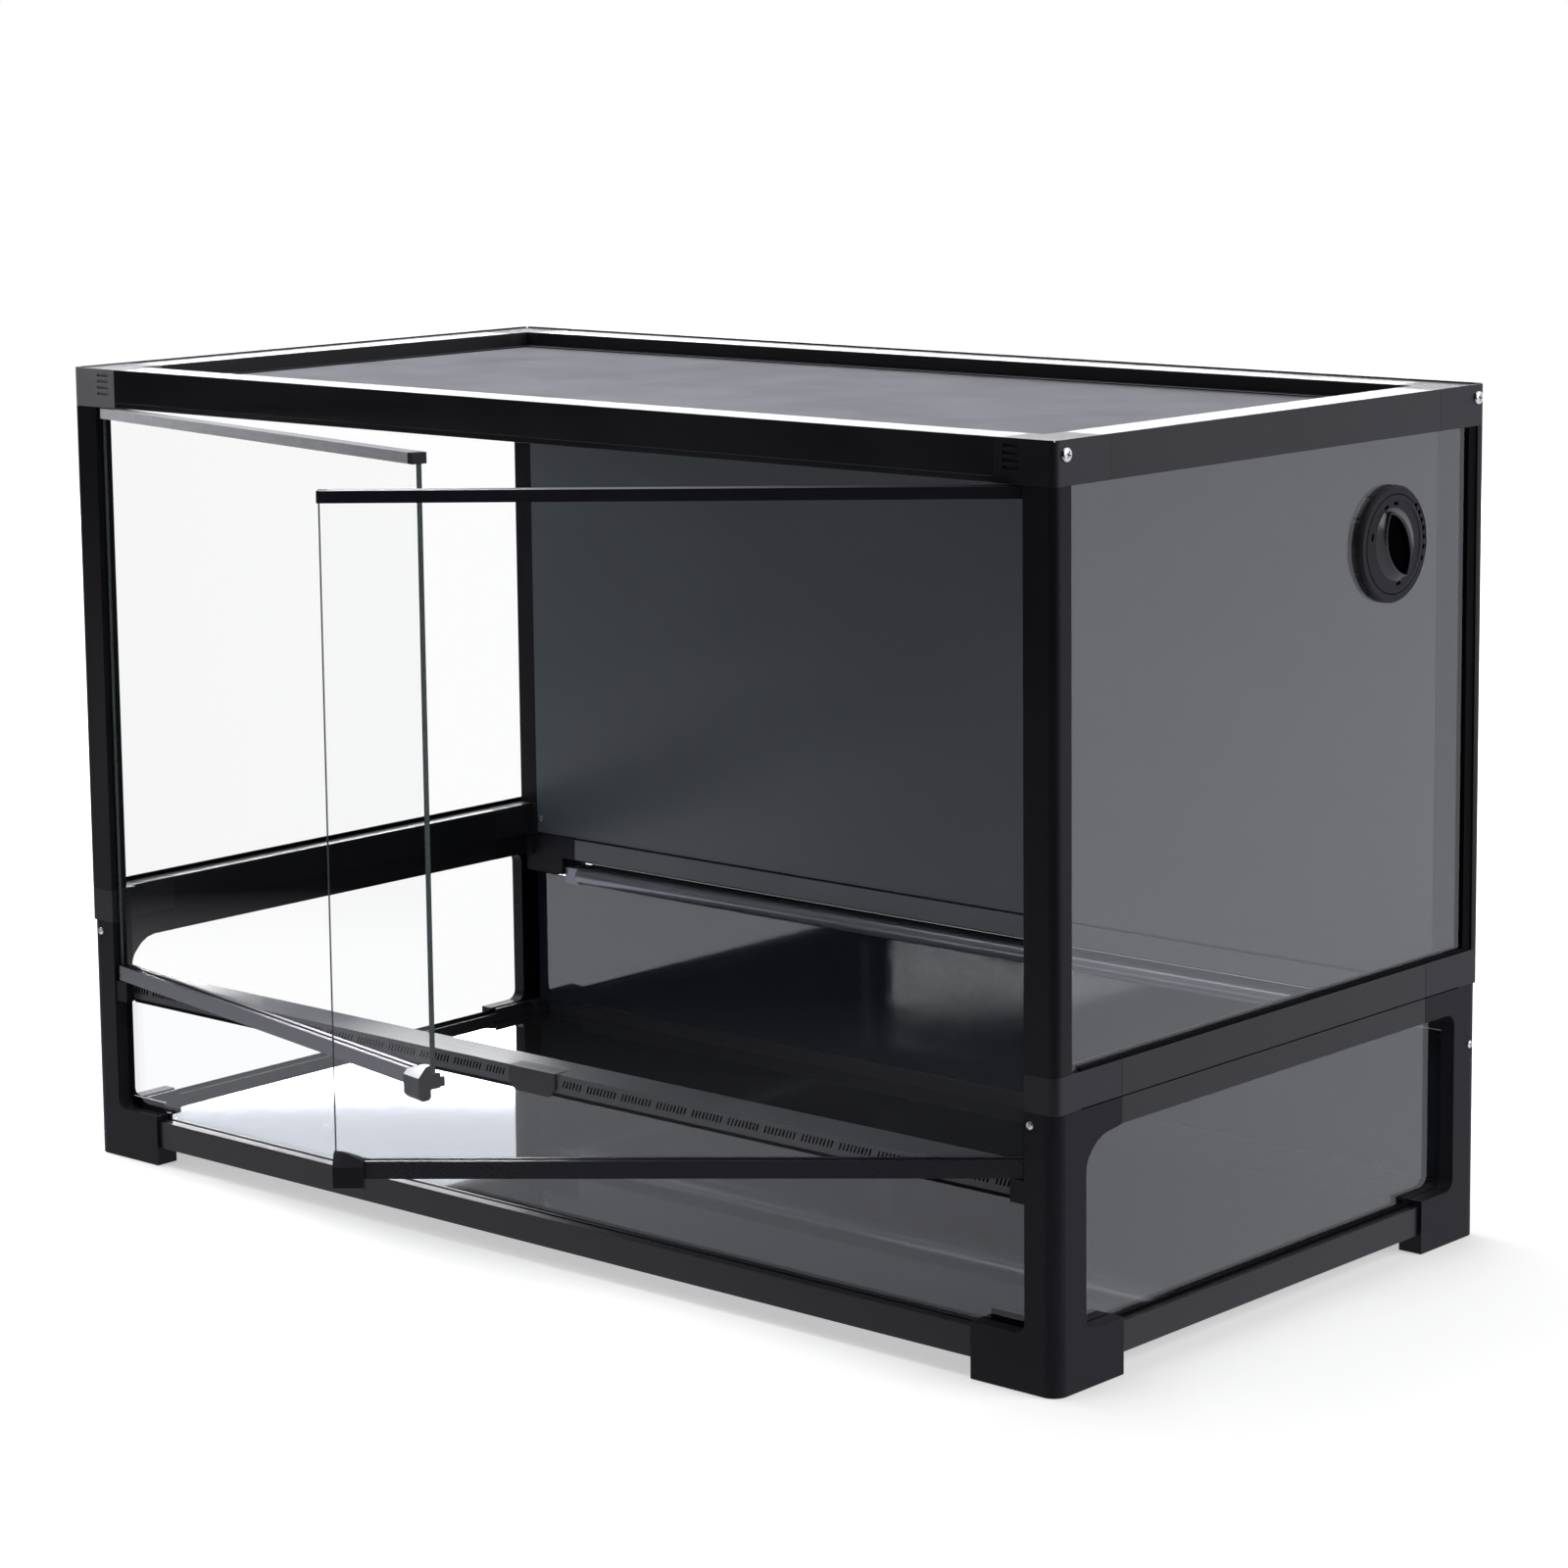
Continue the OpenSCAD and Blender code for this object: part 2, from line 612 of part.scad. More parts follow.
in_frame() lower_corner(-1, -1);  // lower_corner_fl
in_frame() lower_corner(1, -1);  // lower_corner_fr
in_frame() lower_corner(-1, 1);  // lower_corner_rl
in_frame() lower_corner(1, 1);  // lower_corner_rr
in_frame() base_rail_cross(-1);  // base_rail_front
in_frame() base_rail_rear();
in_frame() base_rail_side(-1);  // base_rail_left
in_frame() base_rail_side(1);  // base_rail_right
in_frame() base_panel();
in_frame() tank_glass_front();
in_frame() tank_glass_side(-1);  // tank_glass_left
in_frame() tank_glass_side(1);  // tank_glass_right
in_frame() tank_panel_rear();
in_frame() tank_rail_side(-1);  // tank_rail_left
in_frame() tank_rail_side(1);  // tank_rail_right
in_frame() tank_rail_rear();
in_frame() rear_edge_bar();
in_frame() glass_gaskets();
in_frame() vent_strip();
in_frame() door_catch();
in_frame() connector_screws();
in_frame() mid_corner(-1, -1);  // mid_corner_fl
in_frame() mid_corner(1, -1);  // mid_corner_fr
in_frame() mid_corner(-1, 1);  // mid_corner_rl
in_frame() mid_corner(1, 1);  // mid_corner_rr
in_frame() mid_rail_side(-1);  // mid_rail_left
in_frame() mid_rail_side(1);  // mid_rail_right
in_frame() mid_rail_rear();
in_frame() post(-1, -1);  // post_fl
in_frame() post(1, -1);  // post_fr
in_frame() post(-1, 1);  // post_rl
in_frame() post(1, 1);  // post_rr
in_frame() top_corner(-1, -1);  // top_corner_fl
in_frame() top_corner(1, -1);  // top_corner_fr
in_frame() top_corner(-1, 1);  // top_corner_rl
in_frame() top_corner(1, 1);  // top_corner_rr
in_frame() top_rail_cross(-1);  // top_rail_front
in_frame() top_rail_cross(1);  // top_rail_rear
in_frame() top_rail_side(-1);  // top_rail_left
in_frame() top_rail_side(1);  // top_rail_right
in_frame() side_pane(-1);  // side_pane_left
in_frame() side_pane(1);  // side_pane_right
in_frame() pane_seals();
in_frame() back_panel();
in_frame() screen_frame();
in_frame() screen_mesh();
in_frame() door_pane(-1);  // left_door_pane
in_frame() top_channel(-1);  // left_door_top_channel
in_frame() bottom_channel(-1);  // left_door_bottom_channel
in_frame() door_pull(-1);  // left_door_pull
in_frame() door_pins(-1);  // left_door_pins
in_frame() door_pane(1);  // right_door_pane
in_frame() top_channel(1);  // right_door_top_channel
in_frame() bottom_channel(1);  // right_door_bottom_channel
in_frame() door_pull(1);  // right_door_pull
in_frame() door_pins(1);  // right_door_pins
in_frame() vent_flange();
in_frame() vent_nut();
in_frame() vent_dial();
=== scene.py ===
import json
import math

import bmesh
import bpy
from mathutils import Matrix, Vector


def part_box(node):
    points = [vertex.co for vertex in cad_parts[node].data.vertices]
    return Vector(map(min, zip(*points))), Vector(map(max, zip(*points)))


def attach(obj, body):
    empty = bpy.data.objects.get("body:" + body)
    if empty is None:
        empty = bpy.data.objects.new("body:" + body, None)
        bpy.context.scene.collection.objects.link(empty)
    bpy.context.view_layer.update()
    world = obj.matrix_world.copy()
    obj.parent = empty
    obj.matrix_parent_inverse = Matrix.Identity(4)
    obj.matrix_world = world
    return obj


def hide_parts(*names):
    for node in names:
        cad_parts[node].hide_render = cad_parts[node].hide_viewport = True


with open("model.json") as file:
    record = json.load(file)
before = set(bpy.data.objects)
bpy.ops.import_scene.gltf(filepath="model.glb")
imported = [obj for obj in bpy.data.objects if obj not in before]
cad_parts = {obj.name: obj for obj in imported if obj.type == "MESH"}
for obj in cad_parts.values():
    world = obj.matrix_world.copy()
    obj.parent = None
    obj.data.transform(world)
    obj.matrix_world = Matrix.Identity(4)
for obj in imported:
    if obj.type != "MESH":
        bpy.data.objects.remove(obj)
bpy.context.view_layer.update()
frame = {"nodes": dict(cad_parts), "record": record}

MM = 0.001
SIDES = ("left", "right")

# The tank's own centre line: the origin is the centre of the footprint with the doors open
TANK_Y = (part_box("lower_corner_fl")[0].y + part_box("lower_corner_rl")[1].y) / 2
HALF_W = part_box("lower_corner_fr")[1].x
HALF_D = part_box("lower_corner_rl")[1].y - TANK_Y
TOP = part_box("top_rail_front")[1].z


# Materials ----------------------------------------------------------------------------

class Signal:
    """A socket in a material, which Python's arithmetic works on."""

    def __init__(self, tree, socket=None):
        self.tree, self.socket = tree, socket

    def feed(self, target, value):
        if isinstance(value, Signal):
            self.tree.links.new(value.socket, target)
        elif target.type == "RGBA" and len(value) == 3:
            target.default_value = (*value, 1)
        else:
            target.default_value = value

    def node(self, kind, inputs=None, out=0, **settings):
        """The output socket of a new node with these settings and inputs."""
        n = self.tree.nodes.new("ShaderNode" + kind)
        for key, value in settings.items():
            setattr(n, key, value)
        for key, value in (inputs or {}).items():
            self.feed(n.inputs[key], value)
        return Signal(self.tree, n.outputs[out])

    def maths(self, operation, a, b):
        return self.node("Math", {0: a, 1: b}, operation=operation)

    def __add__(self, other):
        return self.maths("ADD", self, other)

    def __radd__(self, other):
        return self.maths("ADD", other, self)

    def __sub__(self, other):
        return self.maths("SUBTRACT", self, other)

    def __rsub__(self, other):
        return self.maths("SUBTRACT", other, self)

    def __mul__(self, other):
        return self.maths("MULTIPLY", self, other)

    def __gt__(self, other):
        return self.maths("GREATER_THAN", self, other)


def blend(s, amount, first, second):
    """A colour between two."""
    return s.node("Mix", {0: amount, 6: first, 7: second}, out=2, data_type="RGBA")


def place(s, scale=(1, 1, 1)):
    """The point on the object, in metres, each way stretched by its scale."""
    return s.node("Mapping", {"Vector": s.node("TexCoord", out="Object"), "Scale": scale})


def along_axis(s, axis):
    return s.node("SeparateXYZ", {0: place(s)}, out="XYZ".index(axis))


def ramp(s, value, start, end, low=0.0, high=1.0):
    """Goes from low to high while value goes from start to end."""
    return s.node("MapRange", {0: value, 1: start, 2: end, 3: low, 4: high})


def clamp(s, value):
    return s.node("Clamp", {"Value": value})


def noise(s, vector, scale, detail):
    return s.node("TexNoise", {"Vector": vector, "Scale": scale, "Detail": detail})


def bump(s, height, strength, distance):
    return s.node("Bump", {"Height": height, "Strength": strength, "Distance": distance})


def material(name, surface):
    """A material whose surface is the shader that surface(signal) returns."""
    m = bpy.data.materials.new(name)
    m.use_nodes = True
    tree = m.node_tree
    tree.nodes.clear()
    output = tree.nodes.new("ShaderNodeOutputMaterial")
    tree.links.new(surface(Signal(tree)).socket, output.inputs["Surface"])
    return m


def coated(name, fixed, build):
    """A material with constant sockets from fixed, and varying ones from build(signal)."""
    return material(name, lambda s: s.node("BsdfPrincipled", {**fixed, **build(s)}))


# How fine each pattern is: the scale of its noise, in which 1 is about a metre
SPARK_GRAIN, MOULDING_CLOUD = 1400, 14
DIE_LINES, DIE_RUN, COATING_CLOUD = 900, 3, 9
WIPES, DUST, DUST_LEFT_OUT = 1.4, 260, 0.74
GLASS_FILM, GLASS_CHIPS = 2.5, 420
RUBBER_GRAIN, TURNING_MARKS, WIRE_TONE = 700, 900, 20
HAIR_BUMP = 0.0004                      # depth of the finest relief, in metres


def moulded(name, dark, light, rough, spec):
    """Satin moulded plastic: a fine spark-eroded grain and slow changes of sheen."""
    def build(s):
        grain = noise(s, place(s), SPARK_GRAIN, 3)
        cloud = noise(s, place(s), MOULDING_CLOUD, 3)
        return {"Base Color": blend(s, cloud, dark, light),
                "Roughness": cloud * 0.14 + (rough - 0.07) + grain * 0.06,
                "Normal": bump(s, grain, 0.12, HAIR_BUMP)}
    return coated(name, {"Specular IOR Level": spec}, build)


def drawn(name, dark, light, rough, spec, along, metal=0.0):
    """Coated extrusion: faint lines along the length left by the die."""
    stretch = [DIE_RUN if axis == along else DIE_LINES for axis in "xyz"]

    def build(s):
        lines = noise(s, place(s, stretch), 1, 2)
        cloud = noise(s, place(s), COATING_CLOUD, 3)
        return {"Base Color": blend(s, cloud, dark, light),
                "Roughness": lines * 0.12 + cloud * 0.1 + (rough - 0.11),
                "Normal": bump(s, lines, 0.05, 0.0003)}
    return coated(name, {"Specular IOR Level": spec, "Metallic": metal}, build)


def polished_sheet(name, dark, light, ior, rough, mirror=0.0):
    """Dark sheet with faint wiping marks; mirror strengthens its reflection at a grazing look."""
    def build(s):
        wipes = noise(s, place(s, (2.2, 2.2, 9)), WIPES, 5)
        specks = noise(s, place(s), DUST, 4) > DUST_LEFT_OUT
        colour = blend(s, wipes * 0.8 + specks * 0.2, dark, light)
        if mirror:
            grazing = clamp(s, s.node("Fresnel", {"IOR": 1.5}) * mirror)
            colour = blend(s, grazing, colour, (0.93, 0.97, 1.0))
        return {"Base Color": colour, "Roughness": wipes * 0.05 + rough + specks * 0.1}
    return coated(name, {"IOR": ior, "Metallic": 1.0 if mirror else 0.0}, build)


def glass(name, tint, dusty, ior):
    """Clear sheet that lets lamp light through as well as the view."""
    def surface(s):
        film = noise(s, place(s, (1, 1, 0.4)), GLASS_FILM, 2)
        body = s.node("BsdfPrincipled", {"Base Color": blend(s, film, tint, dusty), "Roughness": 0.0,
                                         "IOR": ior, "Transmission Weight": 1.0})
        open_to_lamps = s.node("BsdfTransparent", {"Color": (0.96, 0.965, 0.97)})
        return s.node("MixShader", {0: s.node("LightPath", out="Is Shadow Ray"), 1: body, 2: open_to_lamps})
    return material(name, surface)


def ground_edge(s):
    """The cut and eased edge of a glass sheet, dark and slightly frosted."""
    chips = noise(s, place(s), GLASS_CHIPS, 3)
    return {"Base Color": blend(s, chips, (0.030, 0.040, 0.042), (0.065, 0.080, 0.082)),
            "Roughness": chips * 0.2 + 0.2}


def glare_painted_finish(s):
    """Painted reflection: bright near the hinge and dimmer towards the free end, standing in for the white
    surroundings that the black channel mirrors; the mottle is random.
    """
    reflection_fade = ramp(s, along_axis(s, "X"), -0.42, -0.02)
    mottle = noise(s, place(s, (60, 400, 400)), 1, 4)
    reflection_dimming = clamp(s, reflection_fade * 0.85 + (mottle - 0.5) * 0.5)
    return {"Base Color": blend(s, reflection_dimming, (0.92, 0.93, 0.97), (0.37, 0.37, 0.40)),
            "Roughness": mottle * 0.15 + 0.25}


def rubber(s):
    grain = noise(s, place(s), RUBBER_GRAIN, 2)
    return {"Base Color": blend(s, grain, (0.002, 0.002, 0.002), (0.005, 0.005, 0.006)),
            "Roughness": grain * 0.2 + 0.55, "Normal": bump(s, grain, 0.2, HAIR_BUMP)}


def turned_steel(s):
    marks = noise(s, place(s), TURNING_MARKS, 3)
    return {"Base Color": blend(s, marks, (0.58, 0.58, 0.60), (0.80, 0.80, 0.81)),
            "Roughness": marks * 0.2 + 0.18}


def woven_wire(s):
    tone = noise(s, place(s), WIRE_TONE, 3)
    return {"Base Color": blend(s, tone, (0.18, 0.183, 0.198), (0.29, 0.294, 0.31)),
            "Roughness": tone * 0.2 + 0.3}


MOULDING = moulded("black_moulding", (0.006, 0.006, 0.009), (0.013, 0.013, 0.017), 0.42, 0.3)
FOOT_MOULDING = moulded("foot_moulding", (0.005, 0.005, 0.008), (0.011, 0.011, 0.015), 0.44, 0.13)
# Painted light: a lighter grey copy of the black moulding, for the front left top corner only.
LIGHT_PAINTED_MOULDING = moulded("light_painted_moulding", (0.11, 0.11, 0.118), (0.19, 0.19, 0.203), 0.5, 0.35)
VENT_MOULDING = moulded("vent_moulding", (0.008, 0.008, 0.011), (0.015, 0.015, 0.019), 0.45, 0.13)
VENT_GRIP = moulded("polished_moulding", (0.006, 0.006, 0.009), (0.013, 0.013, 0.017), 0.14, 0.4)
# Painted light: a grey copy of the black pull, for the left door's pull only.
LIGHT_PAINTED_PULL = moulded("light_painted_pull", (0.030, 0.030, 0.034), (0.050, 0.050, 0.056), 0.4, 0.3)
BLACK_PULL = moulded("polished_pull", (0.003, 0.003, 0.005), (0.007, 0.007, 0.010), 0.3, 0.16)
# Painted shade: a black without gloss for the hollow in the grip, the strip's slots and the flange's pockets
# and ticks.
PAINTED_SHADE_BLACK = moulded("painted_shade_hollow", (0.001, 0.001, 0.001), (0.002, 0.002, 0.002), 0.8, 0.0)
BLACK, SOFT_BLACK = (0.005, 0.005, 0.007), (0.011, 0.011, 0.014)
RAIL = {axis: drawn("black_rail_" + axis, BLACK, SOFT_BLACK, 0.34, 0.3, axis) for axis in "xy"}
POST = drawn("black_post", BLACK, SOFT_BLACK, 0.36, 0.12, "z")
# Painted light: a lighter grey for the rail's face inside the tank, standing in for light that the black
# rail there doesn't get.
LIGHT_PAINTED_RAIL = drawn("light_painted_rail", (0.060, 0.062, 0.072), (0.088, 0.091, 0.104), 0.34, 0.3, "x")
# Painted light: a lighter grey for the ventilation strip, in place of light on its black face.
LIGHT_PAINTED_STRIP = drawn("light_painted_strip", (0.026, 0.027, 0.031), (0.040, 0.042, 0.048), 0.34, 0.3, "x")
# Painted light: a light grey for the black round bar at the rear, standing in for the light on it.
ROUND_BAR = drawn("light_painted_round_bar", (0.17, 0.18, 0.21), (0.22, 0.23, 0.27), 0.22, 0.5, "x", 0.6)
CHANNEL = drawn("black_channel", (0.008, 0.008, 0.012), (0.016, 0.016, 0.022), 0.3, 0.2, "x")
# Painted reflection: a grey, mirror-like copy of the black channel, for the left door's bottom channel only.
REFLECTION_PAINTED_CHANNEL = drawn("reflection_painted_channel", (0.10, 0.10, 0.11), (0.15, 0.15, 0.165), 0.3, 0.5, "x", 1.0)
# Painted highlight: near white, for the top of the left door's pull.
HIGHLIGHT_PAINTED_TOP = drawn("highlight_painted_pull_top", (0.80, 0.80, 0.84), (0.92, 0.92, 0.96), 0.3, 0.5, "x", 0.6)
# Painted reflection: the channel over the left door pane, painted bright where it mirrors the white
# surroundings.
GLARE_PAINTED_CHANNEL = coated("glare_painted_channel", {"Metallic": 0.45}, glare_painted_finish)
CLEAR = glass("clear_glass", (0.985, 0.988, 1.0), (0.975, 0.980, 0.992), 1.5)
LEFT_CLEAR = glass("left_clear_glass", (0.999, 1.0, 1.0), (0.996, 0.997, 0.999), 1.12)
DOOR_CLEAR = glass("bloomed_door_glass", (0.999, 1.0, 1.0), (0.996, 0.997, 0.999), 1.17)
EDGE = coated("ground_glass_edge", {"Specular IOR Level": 0.3}, ground_edge)
BASE_SHEET = polished_sheet("charcoal_sheet", (0.004, 0.005, 0.008), (0.010, 0.012, 0.017), 1.5, 0.01, 2.3)
BACK_SHEET = polished_sheet("satin_back_sheet", (0.044, 0.050, 0.060), (0.060, 0.067, 0.080), 1.5, 0.3)
TANK_SHEET = polished_sheet("dark_tank_sheet", (0.007, 0.008, 0.012), (0.015, 0.017, 0.023), 2.0, 0.03)
RUBBER = coated("black_rubber", {"Specular IOR Level": 0.03}, rubber)
STEEL = coated("zinc_steel", {"Metallic": 1.0}, turned_steel)
WIRE = coated("dark_wire", {"Metallic": 0.8}, woven_wire)


# Meshes -------------------------------------------------------------------------------

# How much of an edge is eased
MOULDING_EASE, RAIL_EASE, LIP_EASE, STRIP_EASE = 0.5 * MM, 0.4 * MM, 0.35 * MM, 0.15 * MM
GLASS_EASE, SHEET_EASE, SEAL_EASE, PULL_EASE = 0.6 * MM, 0.3 * MM, 0.2 * MM, 0.8 * MM


def merged(node):
    """The solid's mesh with its doubles merged and its flat faces joined up."""
    bm = bmesh.new()
    bm.from_mesh(frame["nodes"][node].data)
    bmesh.ops.remove_doubles(bm, verts=bm.verts, dist=2e-6)
    bmesh.ops.dissolve_limit(bm, angle_limit=math.radians(0.2), verts=bm.verts, edges=bm.edges,
                             use_dissolve_boundaries=False)
    return bm


def ease(bm, width, sharpest=35):
    """Eases every edge that turns by more than sharpest degrees."""
    edges = [e for e in bm.edges
             if len(e.link_faces) == 2 and e.calc_face_angle(0) > math.radians(sharpest)]
    bmesh.ops.bevel(bm, geom=edges, offset=width, segments=2, profile=0.6, affect="EDGES",
                    clamp_overlap=True)


def mark(bm, test):
    """Gives a second finish to the faces that pass the test."""
    for f in bm.faces:
        f.material_index = 1 if test(f) else 0


def loose(bm):
    """A passing object made from a bmesh, which is used up."""
    mesh = bpy.data.meshes.new("raw")
    bm.to_mesh(mesh)
    bm.free()
    o = bpy.data.objects.new("raw", mesh)
    bpy.context.scene.collection.objects.link(o)
    return o


def evaluated(o):
    """The mesh that an object's modifiers give; the object itself goes."""
    graph = bpy.context.evaluated_depsgraph_get()
    mesh = bpy.data.meshes.new_from_object(o.evaluated_get(graph), depsgraph=graph)
    raw = o.data
    bpy.data.objects.remove(o)
    bpy.data.meshes.remove(raw)
    return mesh


def as_bmesh(mesh, bm=None):
    """A mesh as a bmesh, or added to one; the mesh itself goes."""
    if bm is None:
        bm = bmesh.new()
    bm.from_mesh(mesh)
    bpy.data.meshes.remove(mesh)
    return bm


def shaded(bm, smooth=35):
    """The finished mesh: smooth shading over rounded edges that leaves the large faces flat."""
    o = loose(bm)
    for p in o.data.polygons:
        p.use_smooth = True
    o.data.set_sharp_from_angle(angle=math.radians(smooth))
    weighted = o.modifiers.new("normals", "WEIGHTED_NORMAL")
    weighted.weight, weighted.keep_sharp = 100, True
    return evaluated(o)


def carved(bm, *cutters):
    """A solid less the cutters; all are given as bmeshes and used up."""
    for cutter in cutters:
        o, tool = loose(bm), loose(cutter)
        cut = o.modifiers.new("cut", "BOOLEAN")
        cut.operation, cut.solver, cut.object = "DIFFERENCE", "EXACT", tool
        bm = as_bmesh(evaluated(o))
        bpy.data.meshes.remove(tool.data)
    return bm


def skin(bm, rings, steps):
    """Faces between rings of points; a ring of one point is a pole."""
    for a, b in zip(rings, rings[1:]):
        for i in range(steps):
            j = (i + 1) % steps
            corners = dict.fromkeys((a[i % len(a)], a[j % len(a)], b[j % len(b)], b[i % len(b)]))
            bm.faces.new(list(corners))
    bmesh.ops.recalc_face_normals(bm, faces=bm.faces)


def spun(profile, steps):
    """A solid turned about Z from points (radius, height)."""
    bm = bmesh.new()
    rings = []
    for r, z in profile:
        turns = [2 * math.pi * i / steps for i in range(steps if r else 1)]
        rings.append([bm.verts.new((r * math.cos(t), r * math.sin(t), z)) for t in turns])
    skin(bm, rings, steps)
    return bm


def lofted(outlines):
    """A solid through closed outlines of equal length, capped at both ends."""
    bm = bmesh.new()
    rings = [[bm.verts.new(p) for p in outline] for outline in outlines]
    bm.faces.new(rings[0])
    bm.faces.new(rings[-1])
    skin(bm, rings, len(rings[0]))
    return bm


def block(low, high, turn=0.0):
    """A box between two corners, turned about Z by an angle in degrees."""
    bm = bmesh.new()
    low, high = Vector(low), Vector(high)
    at = Matrix.Translation((low + high) / 2) @ Matrix.Diagonal((*(high - low), 1))
    bmesh.ops.create_cube(bm, size=1, matrix=Matrix.Rotation(math.radians(turn), 4, "Z") @ at)
    return bm


def joined(first, *others):
    """Several solids as one bmesh; the others are used up."""
    for other in others:
        mesh = bpy.data.meshes.new("part")
        other.to_mesh(mesh)
        other.free()
        as_bmesh(mesh, first)
    return first


def moved(bm, matrix):
    bmesh.ops.transform(bm, matrix=matrix, verts=bm.verts)
    return bm


# Finished pieces, each in place of one of the frame's solids ----------------------------

def piece(node, mesh, *finishes):
    """The finished piece for a node: it rides on the node's body and stands for its solid."""
    record = frame["record"]
    body = next(b for b, nodes in record["behaviour"]["bodies"].items() if node in nodes)
    slot = next(s["material_slot"] for s in record["subparts"] if s["node"] == node)
    mesh.name = "finished_" + node
    for finish in finishes:
        mesh.materials.append(finish)
    o = bpy.data.objects.new("finished_" + node, mesh)
    bpy.context.scene.collection.objects.link(o)
    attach(o, body)
    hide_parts(node)


def eased(node, finish, width=MOULDING_EASE):
    """A frame solid again, with its edges eased and a proper finish."""
    bm = merged(node)
    ease(bm, width)
    piece(node, shaded(bm), finish)


def tank_rear_rail():
    """The face inside the tank is painted a lighter grey as painted light; the others are black."""
    bm = merged("tank_rail_rear")
    mark(bm, lambda f: f.normal.y < -0.5)
    ease(bm, RAIL_EASE)
    piece("tank_rail_rear", shaded(bm), RAIL["x"], LIGHT_PAINTED_RAIL)


LIP_WIDTH, LIP_HEIGHT = 1.4 * MM, 1.0 * MM      # of the top frame's outer edge
CUTTER_RISE, CUTTER_REACH = 5 * MM, 20 * MM     # cutters stand over and beside what they cut


def lipped(node, finish):
    """A piece of the top frame, its top sunk a little inside a narrow outer lip."""
    inner_w, inner_d = HALF_W - LIP_WIDTH, HALF_D - LIP_WIDTH
    sunk = block((-inner_w, TANK_Y - inner_d, TOP - LIP_HEIGHT),
                 (inner_w, TANK_Y + inner_d, TOP + CUTTER_RISE))
    bm = carved(merged(node), sunk)
    ease(bm, LIP_EASE)
    piece(node, shaded(bm), finish)


SLOT_FACE = 30 * MM * MM                        # the faces that line a slot are smaller than this


def slotted_strip():
    """The ventilation strip, painted a lighter grey as painted light; the small faces that line its slots
    get painted shade.
    """
    bm = merged("vent_strip")
    mark(bm, lambda f: abs(f.normal.y) < 0.5 and f.calc_area() < SLOT_FACE)
    ease(bm, STRIP_EASE)
    piece("vent_strip", shaded(bm), LIGHT_PAINTED_STRIP, PAINTED_SHADE_BLACK)


def sheet_of_glass(node, finish):
    """A pane: clear over its two broad faces, ground along its edges."""
    bm = merged(node)
    ease(bm, GLASS_EASE)
    bm.normal_update()
    broad = max(bm.faces, key=lambda f: f.calc_area()).normal.copy()
    mark(bm, lambda f: abs(f.normal.dot(broad)) <= 0.999)
    piece(node, shaded(bm, 20), finish, EDGE)


# Doors --------------------------------------------------------------------------------

JOINT = {j["child"]: j for j in frame["record"]["behaviour"]["joints"]}
HINGE = {side: Vector((*JOINT[side + "_door"]["pos_m"][:2], 0)) for side in SIDES}
OPEN = {side: math.radians(-JOINT[side + "_door"]["range_deg"][0]) for side in SIDES}
MEETING_GAP = 1.5 * MM                          # from a door's free end to the middle, when shut
DOOR_LENGTH = HINGE["right"].x - MEETING_GAP
CAP_LENGTH = 6 * MM                             # of the moulded end of a top channel
PULL_REACH = 21 * MM                            # from the free end to past the pull's inner end
PULL_DROP = 6 * MM                              # of the pull's curved top over that length
PULL_STEPS = 8
UP = Vector((0, 0, 1))


def door_run(side):
    """The way along the open door, from its hinge to its free end."""
    run = math.cos(OPEN[side])
    return Vector((run if side == "left" else -run, -math.sin(OPEN[side]), 0))


def top_channel(side, finish):
    """The channel over a door pane, which ends in a moulded cap."""
    node, along = side + "_door_top_channel", door_run(side)
    bm = merged(node)
    ease(bm, MOULDING_EASE)
    cap_start = HINGE[side] + along * (DOOR_LENGTH - CAP_LENGTH)
    bmesh.ops.bisect_plane(bm, geom=bm.verts[:] + bm.edges[:] + bm.faces[:], plane_co=cap_start,
                           plane_no=along)
    mark(bm, lambda f: (f.calc_center_median() - cap_start).dot(along) > 0)
    piece(node, shaded(bm), finish, MOULDING)


def door_pull(side, finish, top_finish):
    """The latch block on a door's free end, its top curving down towards the channel."""
    node, along = side + "_door_pull", door_run(side)
    across = along.cross(UP)
    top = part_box(node)[1].z
    steps = [i / PULL_STEPS for i in range(PULL_STEPS + 1)]
    curve = [(PULL_REACH * step, top - PULL_DROP * step ** 2) for step in steps]
    outline = [(-MM, top + CUTTER_RISE), (-MM, top), *curve, (PULL_REACH, top + CUTTER_RISE)]
    above = [[HINGE[side] + along * (DOOR_LENGTH - back) + across * out + UP * z for back, z in outline]
             for out in (-CUTTER_REACH, CUTTER_REACH)]
    bm = carved(merged(node), lofted(above))
    # Faces on top get the second finish; on the left door this is a painted highlight.
    mark(bm, lambda f: f.normal.z > 0.3)
    ease(bm, PULL_EASE, 40)
    piece(node, shaded(bm), finish, top_finish)


# Vent: drawn in mm as (towards the rear, up, out of the pane) from the pane's outer face

PANE_IN = 3 * MM                                # the pane stands this far inside the frame's face
VENT = (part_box("vent_flange")[0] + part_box("vent_flange")[1]) / 2
AT_VENT = Matrix(((0, 0, MM, HALF_W - PANE_IN), (MM, 0, 0, VENT.y), (0, MM, 0, VENT.z), (0, 0, 0, 1)))
GRIP_TURN = math.radians(24)
DISC = ((0, 2), (32.5, 2), (33, 2.5), (33, 4), (32.7, 4.6), (32, 4.8), (29.5, 4.8), (29, 4.4), (0, 4.4))
SPINDLE = ((0, -6), (3.4, -6), (4, -5.4), (4, 2.1), (0, 2.1))
